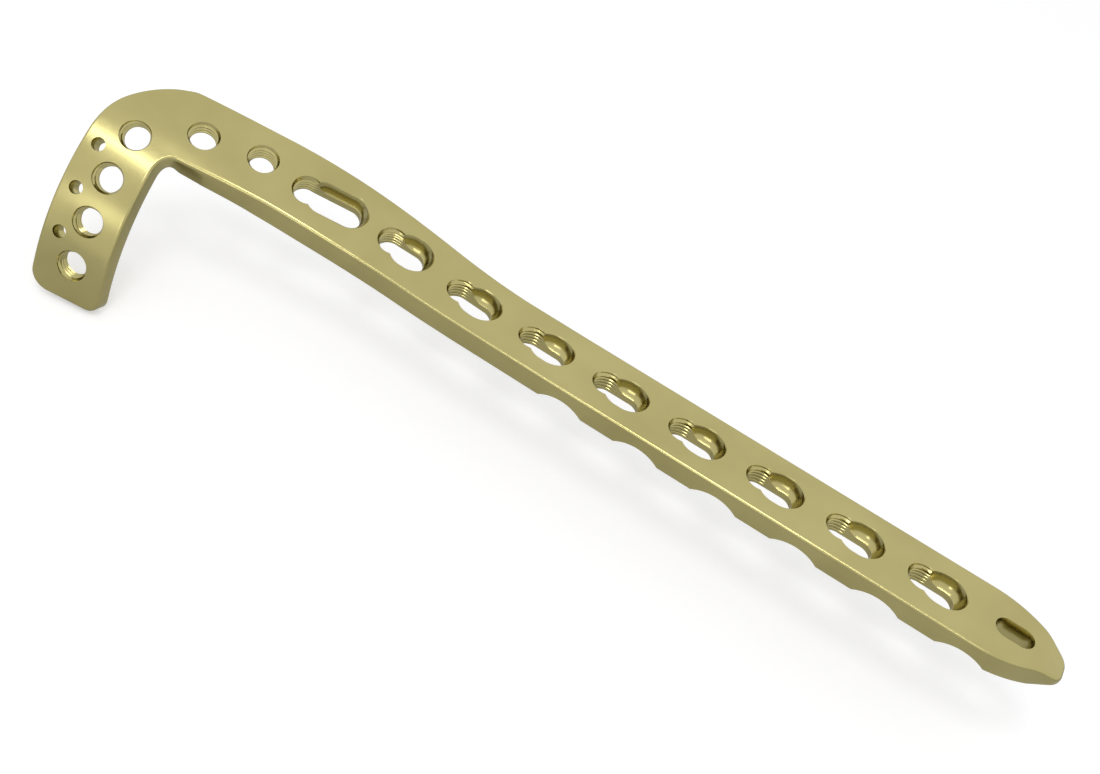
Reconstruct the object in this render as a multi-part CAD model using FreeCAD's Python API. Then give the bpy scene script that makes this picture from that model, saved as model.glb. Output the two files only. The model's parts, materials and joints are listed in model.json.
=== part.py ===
"""Contoured bone plate with a side arm, one solid with all its holes.

Millimetres. X runs along the straight shaft towards its thin tip, Y lies across the shaft
and Z points away from the bone. The origin is on the flat underside of the shaft, under
the middle of its row of keyholes. Places in this file are counted from the round end of
the row's first keyhole, and the finished plate is moved by the half row at the end.
"""
import FreeCAD, Part
import math
import os

V = FreeCAD.Vector

# Straight shaft
SHAFT_WIDTH = 12.6
THICKNESS = 3.5
HOLE_PITCH = 13.0
SHAFT_HOLES = 6
NECK_KEYHOLES = 2

# Tip of the shaft: rounded in plan, wedge-shaped seen from the side
TIP_X = 87.4
TIP_CURVE_START = 74.5
TIP_CURVE_RADIUS = 18.0
TIP_CURVE_ANGLE = 27.0
TIP_CORNER_RADIUS = 2.0
NOSE_START = 83.5
NOSE_TOP = 1.95
NOSE_BOTTOM = 1.0
NOSE_BEND_RADIUS = 5.0
TIP_SLOT_CENTRE = 79.1
TIP_SLOT_LENGTH = 5.3
TIP_SLOT_WIDTH = 3.0

# Neck: rises away from the bone and rolls towards the arm
CREASE_X = 6.1
CREASE_RISE = 0.05
NECK_START = -3.0
NECK_END = -39.5
NECK_PITCH = 13.4
NECK_ROLL = 15.4

# Neck edges in plan
NEAR_HOLLOW_START = -4.0
NEAR_HOLLOW_RADIUS = 900.0
NEAR_HOLLOW_TURN = 1.0
NEAR_CURVE_RADIUS = 90.0
NEAR_CURVE_ANGLE = 14.8
FAR_CURVE_START = -18.0
FAR_CURVE_RADIUS = 105.0
FAR_CURVE_ANGLE = 16.4

# Head: a bent sheet, carried along a path that yaws and levels out
HEAD_THICKNESS = 2.45
BEND_START_Y = -8.2
FIRST_BEND_RADIUS = 14.0
FIRST_BEND_TO = 36.9
SECOND_BEND_RADIUS = 33.9
SECOND_BEND_TO = 76.0
BEND_FULL_X = -48.0
PATH_CURVE_START = -53.0
PATH_END = -75.0
PATH_YAW = 9.0
PATH_END_PITCH = 2.9
RAMP_START = -44.6
RAMP_END = -58.0

# Sections of the smooth skins: how far they reach to each side, and in how many steps
SKIN_FAR = 40.0
SKIN_NEAR = -45.0
SKIN_STEPS = 36
SECTION_SPACING = 2.5

# Arm: a straight strip that hangs down the near side
ARM_INNER_X = -59.4
ARM_OUTER_X = -70.15
ARM_INNER_DRAFT = 5.5
ARM_OUTER_DRAFT = 3.5
INNER_CORNER_RADIUS = 3.0
OUTER_CORNER_X = -62.3
OUTER_CORNER_RADIUS = 16.4
OUTER_CORNER_SOFTENING = 4.0
ARM_END_Z = -15.1
ARM_END_OUTER_RADIUS = 2.8
ARM_END_INNER_RADIUS = 2.2

# Holes
THREAD_MINOR_R = 2.05
THREAD_MOUTH_R = 2.45
MOUTH_DEPTH = 0.6
KEY_TROUGH_R = 3.08
KEY_TROUGH_NEAR = 2.9
KEY_TROUGH_FAR = 3.63
KEY_RAMP_DEPTH = 2.3
LONG_TROUGH_R = 2.78
LONG_TROUGH_NEAR = 2.77
LONG_TROUGH_FAR = 7.0
LONG_RAMP_DEPTH = 1.9
WIRE_HOLE_R = 1.0

KEY_TURN = 5.5
LONG_HOLE_X = -40.47
LONG_HOLE_Y = -2.63
LONG_HOLE_TURN = 14.0
NECK_HOLES = [(-48.27, -3.7), (-56.68, -7.33)]
ARM_HOLES = [(-63.94, -13.76), (-63.81, -19.23), (-63.51, -23.28), (-63.52, -26.2)]
WIRE_HOLES = [(-67.48, -17.34), (-67.14, -21.95), (-66.8, -25.37)]

# Undercuts on both sides of the shaft's underside
UNDERCUT_CENTRE = 9.0
UNDERCUT_LENGTH = 6.85
UNDERCUT_DEPTH = 1.0
UNDERCUT_RUN_OUT = 3.1
UNDERCUT_LEAD = 4.0

# Chamfer around the upper side
TOP_EDGE_BREAK = 0.33

REACH = 14.0
FAR_BELOW = -26.0
FAR_ABOVE = 20.0


def sin(angle):
    return math.sin(math.radians(angle))


def cos(angle):
    return math.cos(math.radians(angle))


def tan(angle):
    return math.tan(math.radians(angle))


def polygon_face(points):
    """Flat face with straight edges through the points."""
    return Part.Face(Part.makePolygon(points + [points[0]]))


def shaft_block():
    """Straight shaft with the wedge of the nose, over-wide in Y."""
    outline = [
        V(CREASE_X, -REACH, 0),
        V(NOSE_START, -REACH, 0),
        V(TIP_X, -REACH, NOSE_BOTTOM),
        V(TIP_X, -REACH, NOSE_TOP),
        V(NOSE_START, -REACH, THICKNESS),
        V(CREASE_X, -REACH, THICKNESS),
    ]
    return polygon_face(outline).extrude(V(0, 2 * REACH, 0))


def share(x, start, end):
    """How far x has come from start to end, kept between 0 and 1."""
    return max(0.0, min(1.0, (x - start) / (end - start)))


def smooth(t):
    """Smooth step from 0 to 1."""
    return t * t * (3.0 - 2.0 * t)


def cubic(t, a, b, c, d):
    """Cubic Bezier value."""
    s = 1.0 - t
    return s * s * s * a + 3 * s * s * t * b + 3 * s * t * t * c + t * t * t * d


def path(x):
    """Side shift and rise of the plate's middle line at x."""
    rise = tan(NECK_PITCH)
    length = NECK_START - NECK_END
    if x >= NECK_END:
        lift = CREASE_RISE * share(x, CREASE_X, NECK_START)
        slope = CREASE_RISE / (CREASE_X - NECK_START)
        end = rise * length / 2.0
        if x >= NECK_START:
            return 0.0, lift
        t = share(x, NECK_START, NECK_END)
        return 0.0, cubic(t, lift, lift + slope * length / 3.0, end - rise * length / 3.0, end)
    base = rise * length / 2.0
    straight = max(x, PATH_CURVE_START)
    base += rise * (NECK_END - straight)
    if x >= PATH_CURVE_START:
        return 0.0, base
    t = share(x, PATH_CURVE_START, PATH_END)
    third = (PATH_CURVE_START - PATH_END) / 3.0
    side = tan(PATH_YAW) * third
    end_rise = tan(PATH_END_PITCH)
    up = cubic(t, 0.0, rise, 1.5 * rise + 0.5 * end_rise, 1.5 * (rise + end_rise)) * third
    return -cubic(t, 0.0, 0.0, 1.45, 2.45) * side, base + up


def section_point(x, s, depth):
    """Point of the section at x: s runs across the plate, depth goes in from its top."""
    roll = NECK_ROLL * smooth(share(x, NECK_START, NECK_END))
    bend = smooth(share(x, NECK_END, BEND_FULL_X))
    start = BEND_START_Y / cos(NECK_ROLL)
    shift, rise = path(x)
    y = max(s, start) * cos(roll)
    z = max(s, start) * sin(roll)
    angle = roll
    rest = max(0.0, start - s)
    turns = [(FIRST_BEND_RADIUS, FIRST_BEND_TO - NECK_ROLL),
             (SECOND_BEND_RADIUS, SECOND_BEND_TO - FIRST_BEND_TO)]
    for radius, turn in turns:
        part = min(rest, radius * math.radians(turn))
        swing = bend * math.degrees(part / radius)
        y -= part * cos(angle + swing / 2.0)
        z -= part * sin(angle + swing / 2.0)
        angle += swing
        rest -= part
    y -= rest * cos(angle)
    z -= rest * sin(angle)
    return V(x, shift + y + depth * sin(angle), THICKNESS + rise + z - depth * cos(angle))


def depth_at(x):
    """Thickness of the sheet at x, square to its section."""
    full = THICKNESS * cos(NECK_ROLL * smooth(share(x, NECK_START, NECK_END)))
    return full + (HEAD_THICKNESS - full) * share(x, RAMP_START, RAMP_END)


def skin(first, last, below):
    """Smooth skin through sections between two stations along the plate."""
    count = max(3, int(abs(last - first) / 2.5) + 1)
    rows = []
    for i in range(count + 1):
        x = first + (last - first) * i / count
        depth = depth_at(x) if below else 0.0
        spread = [SKIN_FAR + (SKIN_NEAR - SKIN_FAR) * k / SKIN_STEPS for k in range(SKIN_STEPS + 1)]
        rows.append([section_point(x, s, depth) for s in spread])
    surface = Part.BSplineSurface()
    surface.interpolate(rows)
    return surface


def room(first, last, below):
    """Free room above the plate, or below it."""
    way = V(0, 1, -1) if below else V(0, -1, 1)
    return skin(first, last, below).toShape().extrude(way * 40.0)


def top_skin():
    """Faces of the plate's upper side before it is trimmed."""
    faces = [skin(CREASE_X, PATH_END, False).toShape()]
    line = [(CREASE_X, THICKNESS), (NOSE_START, THICKNESS), (TIP_X, NOSE_TOP)]
    for (x1, z1), (x2, z2) in zip(line, line[1:]):
        edge = Part.LineSegment(V(x1, -REACH, z1), V(x2, -REACH, z2)).toShape()
        faces.append(edge.extrude(V(0, 2 * REACH, 0)))
    return Part.makeCompound(faces)


def skin_hit(skin, start, end):
    """Where a line meets the upper side, and the outward normal there."""
    probe = Part.LineSegment(start, end).toShape()
    point = skin.distToShape(probe)[1][0][0]
    nearest = min(skin.Faces, key=lambda face: face.distToShape(Part.Vertex(point))[0])
    u, v = nearest.Surface.parameter(point)
    normal = nearest.Surface.normal(u, v)
    if normal.dot(V(0, -0.3, 1)) < 0:
        normal = normal * -1
    return point, normal


def arc_edge(start, heading, radius, turn):
    """Arc in plan from a point; heading and turn in degrees, turn positive to the left."""
    side = 1 if turn > 0 else -1
    centre = start + V(-side * radius * sin(heading), side * radius * cos(heading), 0)

    def at(angle):
        return centre + V(side * radius * sin(angle), -side * radius * cos(angle), 0)

    end = at(heading + turn)
    return Part.Arc(start, at(heading + turn / 2.0), end).toShape(), end


def tip_half(side):
    """Upper or lower half of the tip's plan outline, from the shaft to the end line."""
    half = SHAFT_WIDTH / 2.0
    arc, end = arc_edge(V(TIP_CURVE_START, side * half, 0), 0.0, TIP_CURVE_RADIUS,
                        -side * TIP_CURVE_ANGLE)
    run = TIP_X - end.x
    corner = V(TIP_X, end.y - side * run * tan(TIP_CURVE_ANGLE), 0)
    back = TIP_CORNER_RADIUS * tan((90.0 - TIP_CURVE_ANGLE) / 2.0)
    first = corner - V(cos(TIP_CURVE_ANGLE), -side * sin(TIP_CURVE_ANGLE), 0) * back
    round_edge, last = arc_edge(first, -side * TIP_CURVE_ANGLE, TIP_CORNER_RADIUS,
                                -side * (90.0 - TIP_CURVE_ANGLE))
    return [arc, Part.LineSegment(end, first).toShape(), round_edge], last


def near_edge():
    """Near side from the shaft to where the arm turns off."""
    half = SHAFT_WIDTH / 2.0
    start = V(TIP_CURVE_START, -half, 0)
    hollow = V(NEAR_HOLLOW_START, -half, 0)
    dip, bend = arc_edge(hollow, 180.0, NEAR_HOLLOW_RADIUS, -NEAR_HOLLOW_TURN)
    arc, end = arc_edge(bend, 180.0 - NEAR_HOLLOW_TURN, NEAR_CURVE_RADIUS,
                        NEAR_CURVE_ANGLE + NEAR_HOLLOW_TURN)
    return [Part.LineSegment(start, hollow).toShape(), dip, arc], end


def inner_corner(end):
    """Line of the near side, rounded corner and inner side of the arm."""
    heading = 180.0 + NEAR_CURVE_ANGLE
    down = 270.0 + ARM_INNER_DRAFT
    run = (end.x - ARM_INNER_X) / cos(NEAR_CURVE_ANGLE)
    corner = end + V(cos(heading), sin(heading), 0) * run
    back = INNER_CORNER_RADIUS * tan((down - heading) / 2.0)
    first = corner - V(cos(heading), sin(heading), 0) * back
    arc, last = arc_edge(first, heading, INNER_CORNER_RADIUS, down - heading)
    length = 26.0
    low = last + V(cos(down), sin(down), 0) * length
    edges = [Part.LineSegment(end, first).toShape(), arc, Part.LineSegment(last, low).toShape()]
    return edges, low


def far_edge():
    """Far side from the tip to the outer corner."""
    half = SHAFT_WIDTH / 2.0
    start = V(TIP_CURVE_START, half, 0)
    bend = V(FAR_CURVE_START, half, 0)
    arc, end = arc_edge(bend, 180.0, FAR_CURVE_RADIUS, FAR_CURVE_ANGLE)
    run = (end.x - OUTER_CORNER_X)
    corner = end + V(-run, -run * tan(FAR_CURVE_ANGLE), 0)
    edges = [Part.LineSegment(start, bend).toShape(), arc,
             Part.LineSegment(end, corner).toShape()]
    return edges, corner


def outer_corner(corner, low_y):
    """Big round of the head and outer side of the arm."""
    down = 270.0 + ARM_OUTER_DRAFT
    radius = OUTER_CORNER_RADIUS
    reach = corner.x - ARM_OUTER_X
    turn = math.degrees(math.acos(max(-1.0, min(1.0, 1.0 - reach / radius))))
    arc, last = arc_edge(corner, 270.0 - turn, radius, turn)
    low = V(last.x + (last.y - low_y) * tan(ARM_OUTER_DRAFT), low_y, 0)
    return [arc, Part.LineSegment(last, low).toShape()], low


def outline_prism():
    """Upright prism over the plate's plan outline."""
    near, near_end = near_edge()
    inner, inner_low = inner_corner(near_end)
    far, far_end = far_edge()
    outer, outer_low = outer_corner(far_end, inner_low.y)
    lower_tip, lower_end = tip_half(-1)
    upper_tip, upper_end = tip_half(1)
    edges = near + inner + far + outer + lower_tip + upper_tip
    edges.append(Part.LineSegment(inner_low, outer_low).toShape())
    edges.append(Part.LineSegment(lower_end, upper_end).toShape())
    face = Part.Face(Part.Wire(Part.__sortEdges__(edges)))
    face.translate(V(0, 0, FAR_BELOW))
    return face.extrude(V(0, 0, FAR_ABOVE - FAR_BELOW))


def arm_end_block(upper):
    """Room below the arm's end, cut square to the sheet."""
    middle_x = (ARM_INNER_X + ARM_OUTER_X) / 2.0
    hit, _ = skin_hit(upper, V(middle_x, -3 * REACH, ARM_END_Z), V(middle_x, -REACH, ARM_END_Z))
    along = V(0, -cos(SECOND_BEND_TO), -sin(SECOND_BEND_TO))
    normal = V(0, -sin(SECOND_BEND_TO), cos(SECOND_BEND_TO))
    corner = V(PATH_END - REACH, hit.y, hit.z)
    outline = [corner + normal * 4 * REACH, corner - normal * REACH,
               corner - normal * REACH + along * 4 * REACH,
               corner + normal * 4 * REACH + along * 4 * REACH]
    return polygon_face(outline).extrude(V(3 * REACH, 0, 0))


def heading(edge):
    """Unit vector from one end of an edge to the other."""
    return (edge.Vertexes[-1].Point - edge.Vertexes[0].Point).normalize()


def shaft_blank():
    """Straight shaft with its plan outline, its nose's bend rounded and its top edge broken."""
    body = shaft_block().common(outline_prism())
    bend = [edge for edge in body.Edges if is_nose_bend(edge)]
    body = body.makeFillet(NOSE_BEND_RADIUS, bend)
    return body.makeChamfer(TOP_EDGE_BREAK, upper_rim(body))


def is_nose_bend(edge):
    """Whether an edge is the one across the plate where the nose starts to slope."""
    middle = edge.CenterOfMass
    at_start = abs(middle.x - NOSE_START) < 0.01 and abs(middle.z - THICKNESS) < 0.01
    return at_start and edge.Length > SHAFT_WIDTH / 3.0


def looks_up(face, point):
    """Whether a face belongs to the plate's upper side at a point."""
    u, v = face.Surface.parameter(point)
    return face.normalAt(u, v).z > 0.1


def upper_rim(body):
    """Edges between the upper side and the walls, without the cut at the crease."""
    found = []
    for edge in body.Edges:
        middle = edge.valueAt((edge.FirstParameter + edge.LastParameter) / 2.0)
        sides = [face for face in body.Faces if any(edge.isSame(other) for other in face.Edges)]
        upper = [face for face in sides if looks_up(face, middle)]
        if len(upper) == 1 and abs(middle.x - CREASE_X) > 0.01:
            found.append(edge)
    return found


def head_blank(upper):
    """Neck, head and arm between their smooth skins, the top edge broken."""
    block = Part.makeBox(CREASE_X - PATH_END, 4 * REACH, 8 * REACH, V(PATH_END, -3 * REACH, -3 * REACH))
    rooms = [room(CREASE_X, PATH_END, False), room(CREASE_X, RAMP_START, True),
             room(RAMP_START, RAMP_END, True), room(RAMP_END, PATH_END, True)]
    cut = outline_prism().common(block).cut(rooms + [arm_end_block(upper)])
    head = max(cut.Solids, key=lambda solid: solid.Volume * (solid.CenterOfMass.z > -REACH))
    head = round_corners(head)
    return head.makeChamfer(TOP_EDGE_BREAK, upper_rim(head))


def round_corners(body):
    """Rounded corners of the arm's end and softened outer corner of the head."""
    normal = V(0, -sin(SECOND_BEND_TO), cos(SECOND_BEND_TO))
    middle_x = (ARM_INNER_X + ARM_OUTER_X) / 2.0

    def corners(shape, side):
        short = [edge for edge in shape.Edges if edge.Length < 1.4 * THICKNESS]
        low = [edge for edge in short if edge.CenterOfMass.z < ARM_END_Z + THICKNESS]
        square = [edge for edge in low if abs(heading(edge).dot(normal)) > 0.9]
        return [edge for edge in square if (edge.CenterOfMass.x - middle_x) * side > 0]

    body = body.makeFillet(ARM_END_INNER_RADIUS, corners(body, 1))
    body = body.makeFillet(ARM_END_OUTER_RADIUS, corners(body, -1))
    short = [edge for edge in body.Edges if edge.Length < 1.4 * THICKNESS]
    upright = [edge for edge in short if abs(heading(edge).z) > 0.999]
    bend = [edge for edge in upright if abs(edge.CenterOfMass.x - OUTER_CORNER_X) < 0.01]
    return body.makeFillet(OUTER_CORNER_SOFTENING, bend)


def place_of(skin, x, y, turn=0.0, upright=False):
    """Placement on the upper side: Z outwards, X along the plate, turned in plan."""
    point, normal = skin_hit(skin, V(x, y, FAR_ABOVE), V(x, y, FAR_BELOW))
    if upright:
        normal = V(0, normal.y, normal.z).normalize()
    along = V(cos(turn), sin(turn), 0)
    along = (along - normal * along.dot(normal)).normalize()
    return FreeCAD.Placement(point, FreeCAD.Rotation(along, normal.cross(along), normal, "ZXY"))


def thread_bore():
    """Round hole at a threaded hole's inner diameter, with its wide mouth."""
    bore = Part.makeCylinder(THREAD_MINOR_R, 4 * THICKNESS, V(0, 0, -2 * THICKNESS))
    wide = THREAD_MOUTH_R - THREAD_MINOR_R
    mouth = Part.makeCone(THREAD_MINOR_R, THREAD_MINOR_R + 2.5 * wide, 2.5 * MOUTH_DEPTH,
                          V(0, 0, -MOUTH_DEPTH))
    return bore.fuse(mouth)


def stadium(radius, near, far, bottom, top):
    """Upright prism with round ends, centred on near and far along X."""
    body = Part.makeBox(far - near, 2 * radius, top - bottom, V(near, -radius, bottom))
    for x in (near, far):
        body = body.fuse(Part.makeCylinder(radius, top - bottom, V(x, 0, bottom)))
    return body


def key_bore(radius, near, far, ramp_depth):
    """Threaded round hole that opens into a trough with a ball-shaped seat."""
    trough = Part.makeCylinder(radius, far - near, V(near, 0, 0), V(1, 0, 0))
    for x in (near, far):
        trough = trough.fuse(Part.makeSphere(radius, V(x, 0, 0)))
    reach = far + 2 * radius
    trough = trough.common(Part.makeBox(2 * reach, 4 * radius, ramp_depth,
                                        V(-reach / 2, -2 * radius, -ramp_depth)))
    lip = stadium(radius, near, far, 0.0, THICKNESS)
    slot_radius = math.sqrt(radius ** 2 - ramp_depth ** 2)
    slot = stadium(slot_radius, 0.0, far, -2 * THICKNESS, -ramp_depth / 2.0)
    return thread_bore().fuse([trough, lip, slot])


def placed(tool, placement):
    """Tool moved to a placement on the plate."""
    tool = tool.copy()
    tool.Placement = placement
    return tool


def hole_tools(skin):
    """All holes of the plate as bodies to cut away."""
    key = key_bore(KEY_TROUGH_R, KEY_TROUGH_NEAR, KEY_TROUGH_FAR, KEY_RAMP_DEPTH)
    long_key = key_bore(LONG_TROUGH_R, LONG_TROUGH_NEAR, LONG_TROUGH_FAR, LONG_RAMP_DEPTH)
    round_hole = thread_bore()
    wire = Part.makeCylinder(WIRE_HOLE_R, 6 * THICKNESS, V(0, 0, -3 * THICKNESS))
    tools = []
    for number in range(SHAFT_HOLES):
        tool = key.copy()
        tool.translate(V(number * HOLE_PITCH, 0, THICKNESS))
        tools.append(tool)
    for number in range(NECK_KEYHOLES):
        x = -(number + 1) * HOLE_PITCH
        tools.append(placed(key, place_of(skin, x, 0.0, KEY_TURN * number)))
    tools.append(placed(long_key, place_of(skin, LONG_HOLE_X, LONG_HOLE_Y, LONG_HOLE_TURN)))
    for x, y in NECK_HOLES + ARM_HOLES:
        tools.append(placed(round_hole, place_of(skin, x, y)))
    for x, y in WIRE_HOLES:
        tools.append(placed(wire, place_of(skin, x, y, upright=True)))
    radius = TIP_SLOT_WIDTH / 2.0
    half = TIP_SLOT_LENGTH / 2.0 - radius
    tools.append(stadium(radius, TIP_SLOT_CENTRE - half, TIP_SLOT_CENTRE + half, -1, THICKNESS + 1))
    return tools


def undercut_tools():
    """Round hollows that run out towards the middle of the underside."""
    radius = ((UNDERCUT_LENGTH / 2.0) ** 2 + UNDERCUT_DEPTH ** 2) / (2.0 * UNDERCUT_DEPTH)
    slope = UNDERCUT_DEPTH / UNDERCUT_RUN_OUT
    half = SHAFT_WIDTH / 2.0
    tools = []
    for number in range(SHAFT_HOLES):
        for side in (-1, 1):
            start = V(UNDERCUT_CENTRE + number * HOLE_PITCH, side * (half + UNDERCUT_LEAD),
                      UNDERCUT_DEPTH - radius + slope * UNDERCUT_LEAD)
            way = V(0, -side, -slope)
            tools.append(Part.makeCylinder(radius, half + UNDERCUT_LEAD - 1.0, start, way))
    return tools


def row_middle():
    """Middle of the row of keyholes, counted from its first round end."""
    return (SHAFT_HOLES - 1) * HOLE_PITCH / 2.0 + KEY_TROUGH_FAR / 2.0


def bone_plate():
    """The finished plate."""
    upper = top_skin()
    body = head_blank(upper).fuse(shaft_blank())
    plate = body.cut(hole_tools(upper) + undercut_tools()).Solids[0]
    plate.translate(V(-row_middle(), 0, 0))
    return plate


if __name__ == "__main__":
    os.makedirs("parts", exist_ok=True)
    plate = bone_plate()
    plate.exportStep("parts/bone_plate.step")
    print(plate.ShapeType, plate.isValid(), round(plate.Volume, 1), len(plate.Faces))
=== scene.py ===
"""Orthopaedic bone plate: its dressed piece, its finish and its plain studio."""
import json
import logging
import math
from dataclasses import dataclass, field
from enum import Enum
from typing import Any

import bpy
import numpy as np
from mathutils import Matrix, Vector
from mathutils.kdtree import KDTree

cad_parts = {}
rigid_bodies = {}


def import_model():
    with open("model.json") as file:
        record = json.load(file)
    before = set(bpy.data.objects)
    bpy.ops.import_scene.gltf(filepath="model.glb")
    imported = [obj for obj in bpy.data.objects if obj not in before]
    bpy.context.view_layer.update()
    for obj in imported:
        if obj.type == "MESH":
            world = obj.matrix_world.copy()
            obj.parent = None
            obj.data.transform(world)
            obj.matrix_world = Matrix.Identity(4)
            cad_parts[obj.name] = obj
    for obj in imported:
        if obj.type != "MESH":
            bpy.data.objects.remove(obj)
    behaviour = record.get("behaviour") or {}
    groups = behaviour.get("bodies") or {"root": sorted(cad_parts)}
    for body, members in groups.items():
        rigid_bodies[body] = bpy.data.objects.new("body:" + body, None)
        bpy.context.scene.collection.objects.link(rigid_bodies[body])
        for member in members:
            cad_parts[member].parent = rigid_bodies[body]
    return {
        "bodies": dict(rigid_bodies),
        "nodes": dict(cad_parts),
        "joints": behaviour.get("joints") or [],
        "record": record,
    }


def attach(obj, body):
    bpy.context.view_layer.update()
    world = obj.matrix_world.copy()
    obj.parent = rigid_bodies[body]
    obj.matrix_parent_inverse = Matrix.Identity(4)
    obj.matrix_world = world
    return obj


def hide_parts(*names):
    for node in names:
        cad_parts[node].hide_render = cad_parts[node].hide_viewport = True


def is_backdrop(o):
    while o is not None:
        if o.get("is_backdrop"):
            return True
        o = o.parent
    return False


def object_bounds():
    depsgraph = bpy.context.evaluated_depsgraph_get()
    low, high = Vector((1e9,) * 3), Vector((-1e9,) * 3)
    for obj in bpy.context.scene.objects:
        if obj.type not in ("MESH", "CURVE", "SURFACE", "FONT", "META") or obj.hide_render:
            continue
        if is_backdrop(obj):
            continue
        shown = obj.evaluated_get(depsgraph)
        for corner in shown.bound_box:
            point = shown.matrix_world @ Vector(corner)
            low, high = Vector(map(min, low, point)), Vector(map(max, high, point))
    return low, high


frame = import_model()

LOG = logging.getLogger("bone_plate")
MM = 0.001

# Lengths are in millimetres and angles in degrees, except in the studio and in the finish.
HALF_WIDTH = 6.3
ARC_POINTS = 49
CORNER_POINTS = 25
TO_HEAD = 180.0
TO_NEAR = 270.0

NOISE_MEAN = 0.5
BLACK = (0.0, 0.0, 0.0, 1.0)
MIX_FIRST, MIX_SECOND, MIX_RESULT = 6, 7, 2

Array = np.ndarray
Pair = tuple[np.ndarray, np.ndarray]
Numbers = tuple[float, ...]
Two = tuple[float, float]
Triple = tuple[float, float, float]
Colour = tuple[float, float, float, float]


def tan(angle: float) -> float:
    """Tangent of an angle in degrees."""
    return math.tan(math.radians(angle))


def cos(angle: float) -> float:
    """Cosine of an angle in degrees."""
    return math.cos(math.radians(angle))


def sin(angle: float) -> float:
    """Sine of an angle in degrees."""
    return math.sin(math.radians(angle))


def share(x: Array, start: float, end: float) -> Array:
    """How far x has come from start to end, kept between 0 and 1."""
    return np.clip((x - start) / (end - start), 0.0, 1.0)


def smooth(t: Array) -> Array:
    """Smooth step from 0 to 1: three times t squared less twice t cubed."""
    return t * t * (3.0 - 2.0 * t)


def cubic(t: Array, a: float, b: float, c: float, d: float) -> Array:
    """Cubic Bezier value from its four control values."""
    s = 1.0 - t
    return s ** 3 * a + 3 * s * s * t * b + 3 * s * t * t * c + t ** 3 * d


def unit(vectors: Array) -> Array:
    """Vectors at length one, their coordinates in the last axis."""
    return vectors / np.linalg.norm(vectors, axis=-1, keepdims=True)


def quads(left: Array, right: Array) -> Array:
    """Faces of four corners between two equal grids of vertex numbers, from row to row."""
    return np.stack([left[:-1], right[:-1], right[1:], left[1:]], axis=-1).reshape(-1, 4)


def run_lengths(line: Array) -> Pair:
    """Length of each run of a polyline, and the length along it at each of its points."""
    runs = np.linalg.norm(np.diff(line, axis=0), axis=1)
    return runs, np.concatenate([[0.0], np.cumsum(runs)])


def points_at(line: Array, length: Array, along: Array) -> Array:
    """Points of a polyline at some lengths along it, from the length at each of its points."""
    return np.stack([np.interp(along, length, line[:, k]) for k in (0, 1)], axis=-1)


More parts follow.
